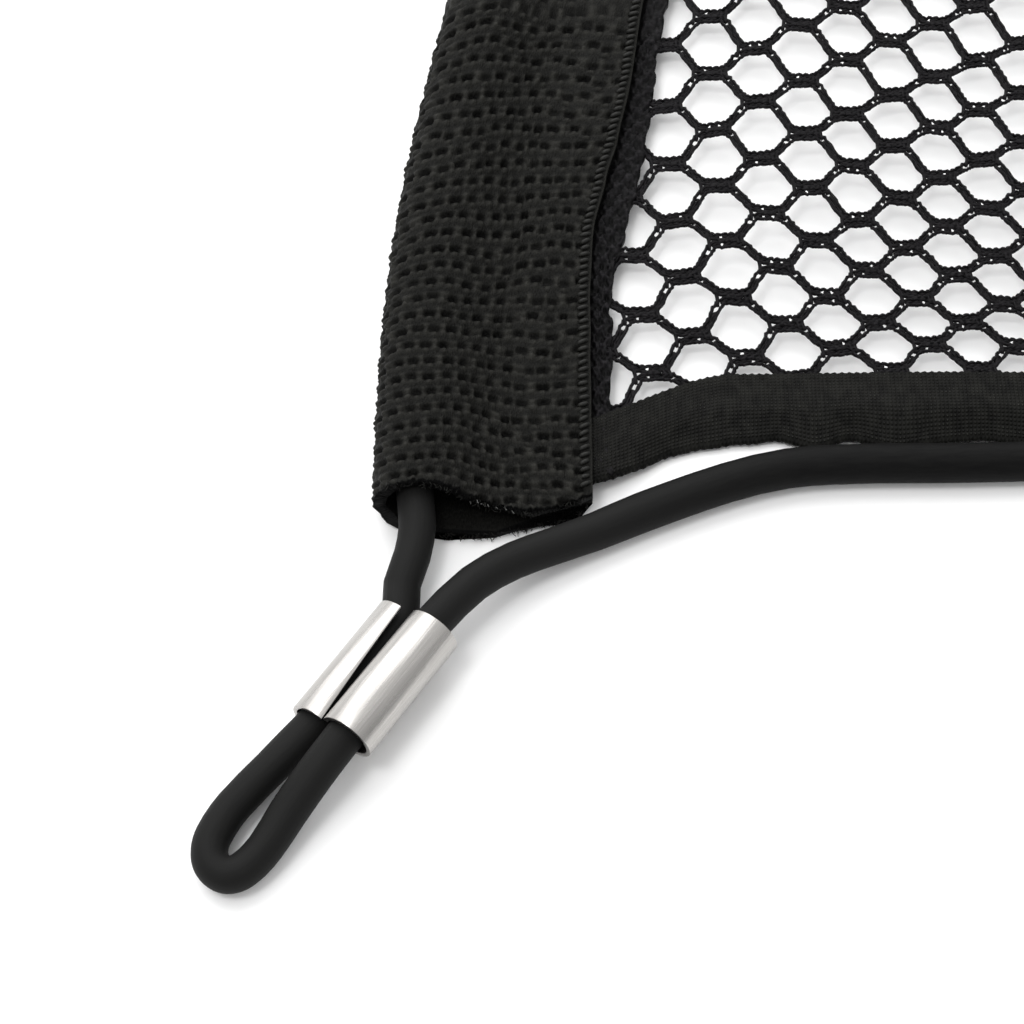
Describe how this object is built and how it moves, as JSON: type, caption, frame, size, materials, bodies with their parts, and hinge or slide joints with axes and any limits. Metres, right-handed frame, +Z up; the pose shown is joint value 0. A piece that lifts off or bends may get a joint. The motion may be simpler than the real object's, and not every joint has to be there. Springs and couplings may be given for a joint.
{
  "type": "cargo net",
  "caption": "Flat knitted cargo net with webbing sleeves, bound long edges and an elastic cord that makes a hook loop at each corner.",
  "frame": {"origin": "on the surface that the net lies on, under its middle", "axes": "+X along the long bound edges, +Y across the net, +Z up from the surface"},
  "size_m": [0.7892, 0.3446, 0.0095],
  "materials": {
    "mesh": "black knitted polyester mesh with six-sided holes",
    "webbing": "black coarse woven webbing",
    "tape": "black fine ribbed binding tape",
    "elastic": "smooth matt black elastic cord",
    "metal": "bright plated strip, lightly brushed"
  },
  "bodies": {
    "root": {"net": "mesh", "sleeve_left": "webbing", "sleeve_right": "webbing", "binding_front": "tape", "binding_back": "tape", "cord_front": "elastic", "cord_back": "elastic", "cord_left": "elastic", "cord_right": "elastic", "ferrule_front_left": "metal", "ferrule_front_right": "metal", "ferrule_back_left": "metal", "ferrule_back_right": "metal"}
  },
  "joints": []
}
